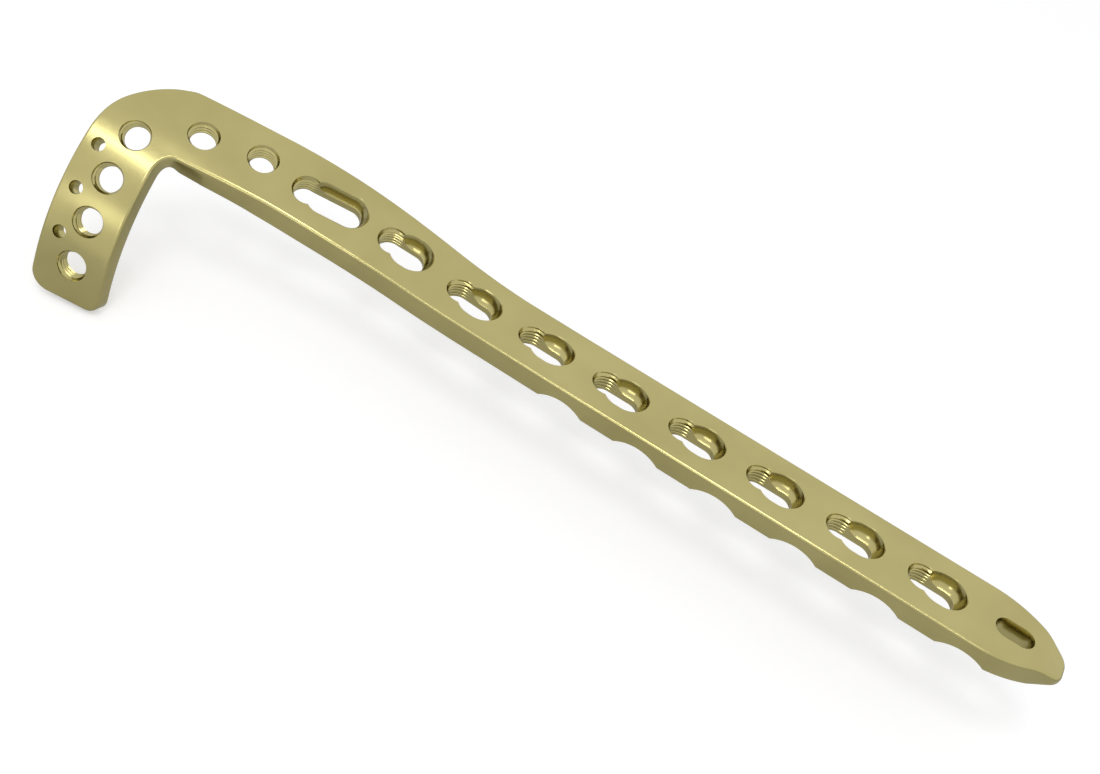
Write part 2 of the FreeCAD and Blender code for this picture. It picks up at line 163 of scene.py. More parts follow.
@dataclass
class PlateSkin:
    """The plate's upper side as a surface of two parameters, in millimetres.

    x runs along the shaft from its first keyhole, and s is the length across the plate,
    measured on its section from the middle line. A depth goes in, square to the section.
    """

    thickness: float = 3.5
    crease_x: float = 6.1
    crease_rise: float = 0.05
    neck_start: float = -3.0
    neck_end: float = -39.5
    neck_pitch: float = 13.4
    neck_roll: float = 15.4
    head_thickness: float = 2.45
    bend_start_y: float = -8.2
    first_radius: float = 14.0
    first_to: float = 36.9
    second_radius: float = 33.9
    second_to: float = 76.0
    bend_full_x: float = -48.0
    path_curve_start: float = -53.0
    path_end: float = -75.0
    path_yaw: float = 9.0
    path_end_pitch: float = 2.9
    path_side_pull: float = 1.45
    path_side_reach: float = 2.45
    ramp_start: float = -44.6
    ramp_end: float = -58.0
    nose_start: float = 83.5
    tip_x: float = 87.4
    nose_top: float = 1.95
    nose_bottom: float = 1.0
    nose_bend: float = 5.0
    row_middle: float = 34.315
    search_range: Two = (-60.0, 40.0)
    halvings: int = 40
    step: float = 0.01

    def path(self, x: Array) -> Pair:
        """Side shift and rise of the plate's middle line at x.

        The line is flat along the shaft, a cubic along the neck, straight at the neck's
        pitch, and last a cubic that yaws and levels out. Its control values there are in
        thirds of its run.
        """
        rise = tan(self.neck_pitch)
        length = self.neck_start - self.neck_end
        lift = self.crease_rise * share(x, self.crease_x, self.neck_start)
        slope = self.crease_rise / (self.crease_x - self.neck_start)
        end = rise * length / 2.0
        neck = cubic(share(x, self.neck_start, self.neck_end), self.crease_rise,
                     self.crease_rise + slope * length / 3.0, end - rise * length / 3.0, end)
        straight = end + rise * (self.neck_end - np.maximum(x, self.path_curve_start))
        t = share(x, self.path_curve_start, self.path_end)
        third = (self.path_curve_start - self.path_end) / 3.0
        end_rise = tan(self.path_end_pitch)
        up = cubic(t, 0.0, rise, 1.5 * rise + 0.5 * end_rise, 1.5 * (rise + end_rise)) * third
        side = cubic(t, 0.0, 0.0, self.path_side_pull, self.path_side_reach)
        side = -side * tan(self.path_yaw) * third
        high = np.where(x >= self.neck_start, lift, np.where(x >= self.neck_end, neck, straight))
        far = x < self.path_curve_start
        return np.where(far, side, 0.0), np.where(far, straight + up, high)

    def roll(self, x: Array) -> Array:
        """Roll of the flat part of the section in radians, a smooth step along the neck."""
        return math.radians(self.neck_roll) * smooth(share(x, self.neck_start, self.neck_end))

    def bends(self) -> tuple[Two, ...]:
        """Radius and full turn in radians of the two bends, in the order from the shaft."""
        return ((self.first_radius, math.radians(self.first_to - self.neck_roll)),
                (self.second_radius, math.radians(self.second_to - self.first_to)))

    def bend_share(self, x: Array) -> Array:
        """How much of their full turn the bends have at x, a smooth step after the neck."""
        return smooth(share(x, self.neck_end, self.bend_full_x))

    def bend_start(self) -> float:
        """Length across the plate at which the first bend starts."""
        return self.bend_start_y / cos(self.neck_roll)

    def nose_drop(self, x: Array) -> Array:
        """How far the upper side falls towards the tip: a slope with a round bend."""
        slope = (self.thickness - self.nose_top) / (self.tip_x - self.nose_start)
        reach = self.nose_bend * math.tan(math.atan(slope) / 2.0)
        run = np.clip(x - (self.nose_start - reach), 0.0, None)
        bent = run * run / (2.0 * reach * 2.0) * slope
        return np.where(run < 2.0 * reach, bent, slope * (x - self.nose_start))

    def at(self, x: Array, s: Array, depth: Array | float = 0.0) -> Array:
        """Points of the section: a straight line, two arcs and a straight tail.

        Args:
            x: Place along the plate.
            s: Length across the plate on the upper side.
            depth: Distance below the upper side, square to the section.

        Returns:
            Array of points with three coordinates in the last axis.
        """
        x, s, depth = np.broadcast_arrays(x, s, depth)
        roll = self.roll(x)
        bend = self.bend_share(x)
        start = self.bend_start()
        shift, rise = self.path(x)
        flat = np.maximum(s, start)
        y = flat * np.cos(roll)
        z = flat * np.sin(roll)
        angle = roll
        rest = np.maximum(0.0, start - s)
        for radius, turn in self.bends():
            part = np.minimum(rest, radius * turn)
            swing = bend * part / radius
            y = y - part * np.cos(angle + swing / 2.0)
            z = z - part * np.sin(angle + swing / 2.0)
            angle = angle + swing
            rest = rest - part
        y = y - rest * np.cos(angle)
        z = z - rest * np.sin(angle)
        up = self.thickness + rise + z - self.nose_drop(x) - depth * np.cos(angle)
        return np.stack([x, shift + y + depth * np.sin(angle), up], axis=-1)

    def angle(self, x: Array, s: Array) -> Array:
        """Slope of the section in radians at a length across the plate."""
        rest = np.maximum(0.0, self.bend_start() - s)
        turned = np.zeros_like(rest)
        for radius, turn in self.bends():
            part = np.minimum(rest, radius * turn)
            turned = turned + part / radius
            rest = rest - part
        return self.roll(x) + self.bend_share(x) * turned

    def depth(self, x: Array) -> Array:
        """Thickness at x: the shaft's, thinning out along the ramp, and the nose's wedge."""
        full = self.thickness * np.cos(self.roll(x))
        thin = full + (self.head_thickness - full) * share(x, self.ramp_start, self.ramp_end)
        nose = share(x, self.nose_start, self.tip_x) * self.nose_bottom
        return thin - self.nose_drop(x) - nose

    def across(self, x: Array, y: Array) -> Array:
        """Length across the plate at which the upper side has a given y, by halving."""
        low, high = (np.full(np.shape(x), end) for end in self.search_range)
        for _ in range(self.halvings):
            middle = (low + high) / 2.0
            below = self.at(x, middle)[..., 1] < y
            low = np.where(below, middle, low)
            high = np.where(below, high, middle)
        return (low + high) / 2.0

    def normal(self, x: Array, s: Array) -> Array:
        """Outward unit normal of the upper side, by central differences."""
        along = self.at(x + self.step, s) - self.at(x - self.step, s)
        over = self.at(x, s + self.step) - self.at(x, s - self.step)
        return unit(np.cross(along, over))


@dataclass
class PlateOutline:
    """The plate's plan outline: a near side and a far side, from the tip to the arm's end."""

    skin: PlateSkin = field(default_factory=PlateSkin)
    tip_curve_start: float = 74.5
    tip_curve_radius: float = 18.0
    tip_curve_angle: float = 27.0
    tip_corner_radius: float = 2.0
    near_hollow_start: float = -4.0
    near_hollow_radius: float = 900.0
    near_hollow_turn: float = 1.0
    near_curve_radius: float = 90.0
    near_curve_angle: float = 14.8
    far_curve_start: float = -18.0
    far_curve_radius: float = 105.0
    far_curve_angle: float = 16.4
    arm_inner_x: float = -59.4
    arm_outer_x: float = -70.15
    arm_inner_draft: float = 5.5
    arm_outer_draft: float = 3.5
    inner_corner_radius: float = 3.0
    outer_corner_x: float = -62.3
    outer_corner_radius: float = 16.4
    outer_corner_softening: float = 4.0
    outer_corner_skip: int = 8
    arm_end_z: float = -15.1
    arm_end_outer_radius: float = 2.8
    arm_end_inner_radius: float = 2.2
    arm_low_y: float = -30.0
    arm_end_run: float = 3.2
    trial_range: Two = (-10.0, -50.0)
    trial_count: int = 2001
    spacing: float = 0.25

    @staticmethod
    def arc(start: Array, heading: float, radius: float, turn: float) -> Array:
        """Points of an arc in plan from a point; a positive turn goes to the left."""
        side = 1.0 if turn > 0 else -1.0
        centre = start + side * radius * np.array([-sin(heading), cos(heading)])
        steps = np.radians(heading + turn * np.linspace(0.0, 1.0, ARC_POINTS))
        return centre + side * radius * np.stack([np.sin(steps), -np.cos(steps)], axis=-1)

    @staticmethod
    def rounded(line: Array, corner: int, radius: float) -> Array:
        """Polyline with one of its vertices replaced by an arc.

        Args:
            line: Points of the polyline, with straight runs beside the vertex.
            corner: Index of the vertex.
            radius: Radius of the arc.

        Returns:
            Points of the new polyline.
        """
        middle = line[corner]
        back = unit(line[corner - 1] - middle)
        ahead = unit(line[corner + 1] - middle)
        half = math.acos(float(np.clip(back @ ahead, -1.0, 1.0))) / 2.0
        reach = radius / math.tan(half)
        centre = middle + unit(back + ahead) * radius / math.sin(half)
        first = middle + back * reach - centre
        last = middle + ahead * reach - centre
        t = np.linspace(0.0, 1.0, CORNER_POINTS)[:, None]
        arc = centre + radius * unit(first * (1.0 - t) + last * t)
        keep_back = np.linalg.norm(line[:corner] - middle, axis=1) > reach
        keep_ahead = np.linalg.norm(line[corner + 1:] - middle, axis=1) > reach
        return np.concatenate([line[:corner][keep_back], arc, line[corner + 1:][keep_ahead]])

    def tip(self, side: float) -> Array:
        """Half of the tip's plan outline, from its flat end back to the shaft."""
        start = np.array([self.tip_curve_start, side * HALF_WIDTH])
        arc = self.arc(start, 0.0, self.tip_curve_radius, -side * self.tip_curve_angle)
        tip = self.skin.tip_x
        run = tip - arc[-1, 0]
        corner = np.array([tip, arc[-1, 1] - side * run * tan(self.tip_curve_angle)])
        line = np.vstack([arc, corner, [tip, 0.0]])
        return self.rounded(line, len(arc), self.tip_corner_radius)[:-1][::-1]

    def arm_low(self, corner: Array, draft: float) -> Array:
        """Lowest plan point of an arm side that leaves a corner with a draft."""
        return corner + (corner[1] - self.arm_low_y) * np.array([tan(draft), -1.0])

    def near(self) -> Array:
        """Plan of the near side: tip, shaft, hollow, curve, inner corner and arm."""
        hollow = np.array([self.near_hollow_start, -HALF_WIDTH])
        dip = self.arc(hollow, TO_HEAD, self.near_hollow_radius, -self.near_hollow_turn)
        turn = self.near_curve_angle + self.near_hollow_turn
        curve = self.arc(dip[-1], TO_HEAD - self.near_hollow_turn, self.near_curve_radius, turn)
        heading = TO_HEAD + self.near_curve_angle
        run = (curve[-1, 0] - self.arm_inner_x) / cos(self.near_curve_angle)
        corner = curve[-1] + run * np.array([cos(heading), sin(heading)])
        low = self.arm_low(corner, self.arm_inner_draft)
        line = np.vstack([self.tip(-1.0), hollow, dip[1:], curve[1:], corner, low])
        return self.rounded(line, len(line) - 2, self.inner_corner_radius)

    def far(self) -> Array:
        """Plan of the far side: tip, shaft, curve, outer corner and arm."""
        bend = np.array([self.far_curve_start, HALF_WIDTH])
        curve = self.arc(bend, TO_HEAD, self.far_curve_radius, self.far_curve_angle)
        run = curve[-1, 0] - self.outer_corner_x
        corner = curve[-1] - run * np.array([1.0, tan(self.far_curve_angle)])
        reach = self.outer_corner_x - self.arm_outer_x
        turn = math.degrees(math.acos(1.0 - reach / self.outer_corner_radius))
        arc = self.arc(corner, TO_NEAR - turn, self.outer_corner_radius, turn)
        low = self.arm_low(arc[-1], self.arm_outer_draft)
        start = np.vstack([self.tip(1.0), bend, curve[1:], corner])
        line = np.vstack([start, arc[self.outer_corner_skip:], low])
        return self.rounded(line, len(start) - 1, self.outer_corner_softening)

    def end_length(self, x: Array) -> Array:
        """Length across the plate at the arm's end, cut square to the sheet."""
        middle = np.array([(self.arm_inner_x + self.arm_outer_x) / 2.0])
        trial = np.linspace(*self.trial_range, self.trial_count)
        heights = self.skin.at(middle, trial)[:, 2]
        place = np.interp(-self.arm_end_z, -heights, trial)
        shift, rise = self.skin.path(x)
        shift_0, rise_0 = self.skin.path(middle)
        steep = self.skin.second_to
        return place - (shift - shift_0) * cos(steep) - (rise - rise_0) * sin(steep)

    def dense(self, line: Array) -> Array:
        """Polyline with points no further apart than the spacing."""
        runs, length = run_lengths(line)
        counts = np.maximum(1, np.ceil(runs / self.spacing)).astype(int)
        along = np.concatenate([np.linspace(a, b, n, endpoint=False)
                                for a, b, n in zip(length, length[1:], counts)] + [length[-1:]])
        return points_at(line, length, along)

    def sides(self) -> Pair:
        """Both sides on the skin, as pairs of x and length across, ended at the arm's end."""
        found = []
        for line, radius, toward in ((self.near(), self.arm_end_inner_radius, -1.0),
                                     (self.far(), self.arm_end_outer_radius, 1.0)):
            line = self.dense(line)
            s = self.skin.across(*line.T)
            over = s - self.end_length(line[:, 0])
            last = int(np.argmin(over > 0.0))
            t = over[last - 1] / (over[last - 1] - over[last])
            x = line[last - 1, 0] + t * (line[last, 0] - line[last - 1, 0])
            ends = np.array([x, x + toward * self.arm_end_run])
            whole = np.stack([np.append(line[:last, 0], ends),
                              np.append(s[:last], self.end_length(ends))], axis=-1)
            found.append(self.rounded(whole, last, radius)[:-1])
        return found[0], found[1]


@dataclass
class PlateBlank:
    """Closed body of the plate before its holes are cut."""

    outline: PlateOutline = field(default_factory=PlateOutline)
    top_radius: float = 0.45
    bottom_radius: float = 0.15
    top_steps: int = 5
    bottom_steps: int = 3
    columns: int = 26
    shaft_spacing: float = 0.62
    knee_x: float = -50.0
    knee_s: float = -24.0
    knee_count: int = 84
    arm_count: int = 44
    corner_count: int = 14
    tip_count: int = 44
    corner_reach: float = 1.7
    knee_margin: float = 0.5
    upright_to: float = 30.0
    square_from: float = 48.0

    def stations(self) -> Pair:
        """Matching points of the near and far sides, from the tip to the arm's end."""
        shaft = self.outline.tip_curve_start
        count = int((shaft - self.knee_x) / self.shaft_spacing)
        x = np.linspace(shaft, self.knee_x, count)
        rows = []
        for line in self.outline.sides():
            _, length = run_lengths(line)
            start = self.at_x(line, length, shaft)
            knee = self.at_x(line, length, self.knee_x)
            after = length > knee
            arm = float(length[after][np.argmax(line[after, 1] < self.knee_s)])
            corner = length[-1] - self.corner_reach * self.outline.arm_end_inner_radius
            before = length <= knee + self.knee_margin
            order = np.argsort(line[before, 0])
            middle = np.interp(x, line[before, 0][order], length[before][order])
            along = np.concatenate([
                np.linspace(0.0, start, self.tip_count, endpoint=False), middle[:-1],
                np.linspace(knee, arm, self.knee_count, endpoint=False),
                np.linspace(arm, corner, self.arm_count, endpoint=False),
                np.linspace(corner, length[-1], self.corner_count)])
            rows.append(points_at(line, length, along))
        return rows[0], rows[1]

    @staticmethod
    def at_x(line: Array, length: Array, x: float) -> float:
        """Length along a polyline at which it first passes an x."""
        return float(length[np.argmax(line[:, 0] <= x)])

    def loop(self, near: Array, far: Array) -> Pair:
        """Closed outline and its outward normals in the plane of x and length across.

        It runs down the near side, over the arm's end, up the far side and over the tip.
        """
        t = np.linspace(0.0, 1.0, self.columns + 1)[1:-1, None]
        end = near[-1] * (1.0 - t) + far[-1] * t
        end[:, 1] = self.outline.end_length(end[:, 0])
        tip = far[0] * (1.0 - t) + near[0] * t
        points = np.concatenate([near, end, far[::-1], tip])
        tangent = unit(np.roll(points, -1, axis=0) - np.roll(points, 1, axis=0))
        return points, np.stack([-tangent[:, 1], tangent[:, 0]], axis=-1)

    def lean(self, points: Array, normals: Array, depth: Array) -> Array:
        """Shift of s with depth that keeps a side wall upright, fading out on the steep arm."""
        angle = self.outline.skin.angle(*points.T)
        fade = 1.0 - share(np.degrees(angle), self.upright_to, self.square_from)
        return np.tan(angle) * fade * normals[:, 1] ** 2 * depth

    def ring(self, points: Array, normals: Array, inset: float, depth: Array) -> Array:
        """Outline moved inwards by an inset and down by a depth, as x, s and depth."""
        x = points[:, 0] - normals[:, 0] * inset
        s = points[:, 1] - normals[:, 1] * inset - self.lean(points, normals, depth)
        return np.stack([x, s, depth], axis=-1)

    def fill(self, ring: Array, stations: int) -> Array:
        """Grid of x, s and depth between the near and far parts of a ring."""
        count = self.columns - 1
        near = ring[:stations]
        far = ring[stations + count:2 * stations + count][::-1]
        t = np.linspace(0.0, 1.0, self.columns + 1)[None, :, None]
        grid = near[:, None] * (1.0 - t) + far[:, None] * t
        grid[-1, 1:-1] = ring[stations:stations + count]
        grid[0, 1:-1] = ring[2 * stations + count:][::-1]
        return grid

    def rings(self, near: Array, far: Array) -> Array:
        """Rings of the rim as x, s and depth: upper rounding, wall and lower rounding."""
        points, normals = self.loop(near, far)
        full = self.outline.skin.depth(points[:, 0])
        rings = []
        for turn in np.linspace(0.0, math.pi / 2.0, self.top_steps + 1):
            inset = self.top_radius * (1.0 - math.sin(turn))
            depth = self.top_radius * (1.0 - math.cos(turn))
            rings.append(self.ring(points, normals, inset, np.full(len(points), depth)))
        for turn in np.linspace(0.0, math.pi / 2.0, self.bottom_steps + 1):
            inset = self.bottom_radius * (1.0 - math.cos(turn))
            depth = full - self.bottom_radius * (1.0 - math.sin(turn))
            rings.append(self.ring(points, normals, inset, depth))
        return np.array(rings)

    def build(self) -> Pair:
        """Vertices in millimetres and quads of the closed body.

        The rim is a grid of rings: a quarter round from the top, the wall, and a small
        quarter round to the underside. The two sides fill the first and the last ring.
        """
        near, far = self.stations()
        rings = self.rings(near, far)
        top = self.fill(rings[0], len(near))
        low = self.fill(rings[-1], len(near))
        low[..., 2] = self.outline.skin.depth(low[..., 0])
        return self.assemble(top, low, rings[1:-1])

    def rim(self) -> Pair:
        """Vertices of the upper rounding and their normals.

        A normal is the cross product of the way along the rim and the way down over it,
        both by differences between neighbours; on the last ring the wall gives the second.
        """
        rings = self.rings(*self.stations())[:self.top_steps + 2]
        points = self.outline.skin.at(*np.moveaxis(rings, -1, 0))
        along = np.roll(points, -1, axis=1) - np.roll(points, 1, axis=1)
        over = points[2:] - points[:-2]
        over[-1] = points[-1] - points[-2]
        normals = unit(np.cross(along[1:-1], over))
        return points[1:-1].reshape(-1, 3), normals.reshape(-1, 3)

    def assemble(self, top: Array, low: Array, rings: Array) -> Pair:
        """Vertices and quads from the two filled sides and the rings between them."""
        rows, columns = top.shape[:2]
        size = rows * columns
        params = np.concatenate([top.reshape(-1, 3), low.reshape(-1, 3), rings.reshape(-1, 3)])
        points = self.outline.skin.at(*params.T)
        index = np.arange(size).reshape(rows, columns)
        upper = quads(index[:, :-1], index[:, 1:])
        rim = np.concatenate([index[:, 0], index[-1, 1:-1], index[::-1, -1], index[0, -2:0:-1]])
        belts = 2 * size + np.arange(len(rings) * len(rim)).reshape(-1, len(rim))
        belts = np.vstack([rim, belts, size + rim])
        walls = quads(belts, np.roll(belts, -1, axis=1))
        return points, np.concatenate([upper, walls, size + upper[:, ::-1]])


@dataclass(frozen=True)
class Frame:
    """Place and directions of a hole on the upper side, and the plate's thickness there."""

    origin: Array
    along: Array
    over: Array
    out: Array
    thickness: float = 0.0

    def place(self, points: Array) -> Array:
        """Points given along, over and out of the surface, as points of the plate."""
        return (self.origin + points[..., 0:1] * self.along + points[..., 1:2] * self.over
                + points[..., 2:3] * self.out)


@dataclass(frozen=True)
class Cutter:
    """Closed body to be cut away: vertices in millimetres and faces of any size."""

    points: Array
    faces: list[list[int]]


def ring_stack(frame: Frame, heights: Array, radii: Array, count: int, near: float = 0.0,
               far: float = 0.0) -> Cutter:
    """Body of stacked rings with round ends, closed by flat lids.

    Each ring is a circle of its radius that is pulled apart along its middle, so that its
    halves are centred on near and on far. A round body has near equal to far.
    """
    turn = np.linspace(0.0, 2.0 * math.pi, count, endpoint=False) + math.pi / count
    centre = np.where(np.cos(turn) > 0.0, far, near)
    x = centre + radii[:, None] * np.cos(turn)
    y = radii[:, None] * np.sin(turn)
    z = np.broadcast_to(heights[:, None], x.shape)
    points = frame.place(np.stack([x, y, z], axis=-1).reshape(-1, 3))
    index = np.arange(len(points)).reshape(-1, count)
    faces = quads(index, np.roll(index, -1, axis=1)).tolist()
    return Cutter(points, faces + [index[0, ::-1].tolist(), index[-1].tolist()])


@dataclass
class ThreadedBore:
    """Round threaded hole: fine helical grooves between two small countersinks."""

    minor_radius: float = 2.05
    taper: float = 0.05
    groove: float = 0.3
    pitch: float = 0.6
    mouth_radius: float = 2.45
    mouth_depth: float = 0.6
    mouth_over: float = 0.3
    low_break: float = 0.2
    row_places: Numbers = (0.0, 0.3, 0.65)
    columns: int = 56
    reach: float = 1.0

    def cutter(self, frame: Frame) -> Cutter:
        """Helical body of the hole: three rows to a turn, crest, crest and root.

        The height of a row is the pitch times its turn, and the radius is the largest of
        the thread's, the upper cone's and the lower cone's. The thread narrows by the taper
        for each millimetre of depth, and its grooves run out in the upper cone.
        """
        low = -frame.thickness - self.reach
        turns = int((frame.thickness + 2.0 * self.reach) / self.pitch) + 1
        rows = np.repeat(np.arange(turns), len(self.row_places)) + np.tile(self.row_places, turns)
        groove = np.tile([0.0, 0.0, self.groove], turns)
        turn = np.arange(self.columns) / self.columns
        height = low + self.pitch * (rows[:, None] + turn - 1.0)
        slope = (self.mouth_radius - self.minor_radius) / self.mouth_depth
        cone = self.mouth_radius + np.minimum(slope * height, self.mouth_over)
        core = self.minor_radius + self.taper * np.minimum(height, 0.0)
        low_radius = self.minor_radius - self.taper * frame.thickness
        under = low_radius + self.low_break - (height + frame.thickness)
        radius = np.maximum(core + groove[:, None], np.maximum(cone, under))
        angle = 2.0 * math.pi * turn
        body = np.stack([radius * np.cos(angle), radius * np.sin(angle), height], axis=-1)
        lids = np.array([[0.0, 0.0, height.min()], [0.0, 0.0, height.max()]])
        points = frame.place(np.concatenate([body.reshape(-1, 3), lids]))
        return Cutter(points, self.faces(len(rows)))

    def faces(self, rows: int) -> list[list[int]]:
        """Quads of the helix, whose last column meets the first one a whole turn up."""
        turn = len(self.row_places)
        index = np.arange(rows * self.columns).reshape(rows, self.columns)
        faces = quads(index[:, :-1], index[:, 1:]).tolist()
        faces += quads(index[:-turn, -1], index[turn:, 0]).tolist()
        low = list(index[0]) + list(index[turn:0:-1, 0])
        high = list(index[-1]) + list(index[-2:-turn - 2:-1, -1])
        centre = rows * self.columns
        for rim, hub, flip in ((low, centre, True), (high, centre + 1, False)):
            for a, b in zip(rim, rim[1:] + rim[:1]):
                faces.append([int(b), int(a), hub] if flip else [int(a), int(b), hub])
        return faces


@dataclass
class KeySlot:
    """Smooth part of a keyhole: a trough with a ball-shaped seat over a narrower slot.

    The lip's heights are over the upper side and the low heights over the underside. The
    flares are how much wider than its lip or its slot the body is at each of them.
    """

    radius: float = 3.08
    near: float = 2.9
    far: float = 3.63
    ramp_depth: float = 2.3
    ramp_steps: int = 15
    ramp_spread: float = 1.2
    edge_break: float = 0.12
    lip_heights: Triple = (1.2, 0.2, 0.02)
    lip_flares: Triple = (0.18, 0.18, 0.0)
    low_heights: Triple = (-1.0, -0.02, 0.18)
    low_flares: Numbers = (1.2, 0.2, 0.0, 0.0)
    columns: int = 88

    def cutters(self, frame: Frame) -> list[Cutter]:
        """The trough, whose radius follows a ball down to the ramp's end, and the slot.

        At a depth d the trough's radius is the root of the ball's radius squared less d
        squared. Its lip is broken by a small flare.
        """
        turn = np.linspace(0.0, math.pi / 2.0, self.ramp_steps)
        depth = self.ramp_depth * np.sin(turn) ** self.ramp_spread
        ball = np.sqrt(self.radius ** 2 - depth ** 2)
        flare = self.radius + self.edge_break
        heights = np.concatenate([self.lip_heights, -depth[1:]])
        radii = np.concatenate([flare + np.array(self.lip_flares), ball[1:]])
        low = np.append(np.array(self.low_heights) - frame.thickness, -self.ramp_depth / 2.0)
        wide = ball[-1] + np.array(self.low_flares)
        return [ring_stack(frame, heights[::-1], radii[::-1], self.columns, self.near, self.far),
                ring_stack(frame, low, wide, self.columns, 0.0, self.far)]


@dataclass
class HoleRow:
    """All holes of the plate, where the photograph shows them.

    The long hole is given by x, y and turn, the tip's slot by x, length and width, and the
    others by x and y. Heights and flares are those of a body's rings, as in a keyhole.
    """

    skin: PlateSkin = field(default_factory=PlateSkin)
    pitch: float = 13.0
    shaft_holes: int = 6
    neck_keyholes: int = 2
    key_turn: float = 5.5
    key: KeySlot = field(default_factory=KeySlot)
    long_key: KeySlot = field(default_factory=lambda: KeySlot(
        radius=2.78, near=2.77, far=7.0, ramp_depth=1.9))
    thread: ThreadedBore = field(default_factory=ThreadedBore)
    long_hole: Triple = (-40.47, -2.63, 14.0)
    neck_holes: tuple[Two, ...] = ((-48.27, -3.7), (-56.68, -7.33))
    arm_holes: tuple[Two, ...] = (
        (-63.94, -13.76), (-63.81, -19.23), (-63.51, -23.28), (-63.52, -26.2))
    wire_holes: tuple[Two, ...] = (
        (-67.48, -17.34), (-67.14, -21.95), (-66.8, -25.37))
    wire_radius: float = 1.0
    wire_heights: Numbers = (-6.0, -0.12, 0.02, 2.0)
    wire_flares: Numbers = (0.0, 0.0, 0.05, 0.5)
    wire_columns: int = 48
    tip_slot: Triple = (79.1, 5.3, 3.0)
    tip_low_heights: Triple = (-1.0, 0.0, 0.2)
    tip_lip_heights: Triple = (-0.75, 0.0, 1.0)
    tip_flares: Numbers = (1.2, 0.2, 0.0, 0.0, 0.3, 0.7)
    tip_columns: int = 72
    undercut_centre: float = 9.0
    undercut_length: float = 6.85
    undercut_depth: float = 1.0
    undercut_run_out: float = 3.1
    undercut_lead: float = 4.0
    undercut_run: float = 9.3
    undercut_columns: int = 160

    def frame_at(self, x: float, y: float, turn: float = 0.0, upright: bool = False) -> Frame:
        """Frame on the upper side over a place in plan.

        Args:
            x: Place along the plate.
            y: Place across the plate.
            turn: Direction of the hole's length in plan, in degrees.
            upright: Whether the hole's axis stays in the plane of the section.

        Returns:
            The frame, its last direction pointing out of the plate.
        """
        place = np.array([x])
        s = self.skin.across(place, np.array([y]))
        origin = self.skin.at(place, s)[0]
        out = self.skin.normal(place, s)[0]
        if upright:
            out = unit(out * np.array([0.0, 1.0, 1.0]))
        along = np.array([cos(turn), sin(turn), 0.0])
        along = unit(along - out * (along @ out))
        return Frame(origin, along, np.cross(out, along), out, float(self.skin.depth(place)[0]))

    def keyholes(self) -> tuple[list[Cutter], list[Cutter], list[Cutter]]:
        """Bodies of the keyholes: their threaded round ends, troughs and slots."""
        places = [(number * self.pitch, 0.0, 0.0, self.key) for number in range(self.shaft_holes)]
        places += [(-(number + 1) * self.pitch, 0.0, self.key_turn * number, self.key)
                   for number in range(self.neck_keyholes)]
        places.append((*self.long_hole, self.long_key))
        threads, troughs, slots = [], [], []
        for x, y, turn, slot in places:
            frame = self.frame_at(x, y, turn)
            trough, low = slot.cutters(frame)
            threads.append(self.thread.cutter(frame))
            troughs.append(trough)
            slots.append(low)
        return threads, troughs, slots

    def round_holes(self) -> list[Cutter]:
        """Bodies of the threaded round holes and of the plain wire holes."""
        heights = np.array(self.wire_heights)
        radii = self.wire_radius + np.array(self.wire_flares)
        round_holes = self.neck_holes + self.arm_holes
        return [self.thread.cutter(self.frame_at(x, y)) for x, y in round_holes] + [
            ring_stack(self.frame_at(x, y, upright=True), heights, radii, self.wire_columns)
            for x, y in self.wire_holes]

    def slots(self) -> list[Cutter]:
        """Bodies of the tip's slot and of the hollows on both sides of the underside."""
        centre, length, width = self.tip_slot
        half = (length - width) / 2.0
        frame = self.frame_at(centre, 0.0)
        low = np.array(self.tip_low_heights) - frame.thickness
        heights = np.concatenate([low, self.tip_lip_heights])
        radii = width / 2.0 + np.array(self.tip_flares)
        found = [ring_stack(frame, heights, radii, self.tip_columns, -half, half)]
        reach = self.undercut_length / 2.0
        radius = (reach ** 2 + self.undercut_depth ** 2) / (2.0 * self.undercut_depth)
        slope = self.undercut_depth / self.undercut_run_out
        across = np.array([1.0, 0.0, 0.0])
        ends = np.array([0.0, self.undercut_run])
        for number in range(self.shaft_holes):
            for side in (-1.0, 1.0):
                start = np.array([self.undercut_centre + number * self.pitch,
                                  side * (HALF_WIDTH + self.undercut_lead),
                                  self.undercut_depth - radius + slope * self.undercut_lead])
                way = np.array([0.0, -side, -slope]) / math.hypot(1.0, slope)
                hollow = Frame(start, across, np.cross(way, across), way)
                found.append(ring_stack(hollow, ends, np.full(2, radius), self.undercut_columns))
        return found


def new_object(name: str, data: bpy.types.ID) -> bpy.types.Object:
    """Object of a mesh, a light or a camera, linked to the scene."""
    made = bpy.data.objects.new(name, data)
    bpy.context.scene.collection.objects.link(made)
    return made


def mesh_object(name: str, points: Array, faces: list[list[int]]) -> bpy.types.Object:
    """Object of a new mesh, from its vertices in metres and its faces."""
    mesh = bpy.data.meshes.new(name)
    mesh.from_pydata(points, [], faces)
    mesh.update()
    return new_object(name, mesh)


def mesh_values(items: Any, name: str, width: int, kind: type = np.float64) -> Array:
    """A property of all items of a mesh, as an array with a number of columns."""
    values = np.empty(len(items) * width, dtype=kind)
    items.foreach_get(name, values)
    return values.reshape(-1, width)


def cutter_object(name: str, cutters: list[Cutter], shift: Array) -> bpy.types.Object:
    """One object of several cutters that don't touch each other."""
    faces = []
    start = 0
    for cutter in cutters:
        faces += [[start + corner for corner in face] for face in cutter.faces]
        start += len(cutter.points)
    points = np.concatenate([cutter.points for cutter in cutters])
    return mesh_object(name, (points + shift) * MM, faces)


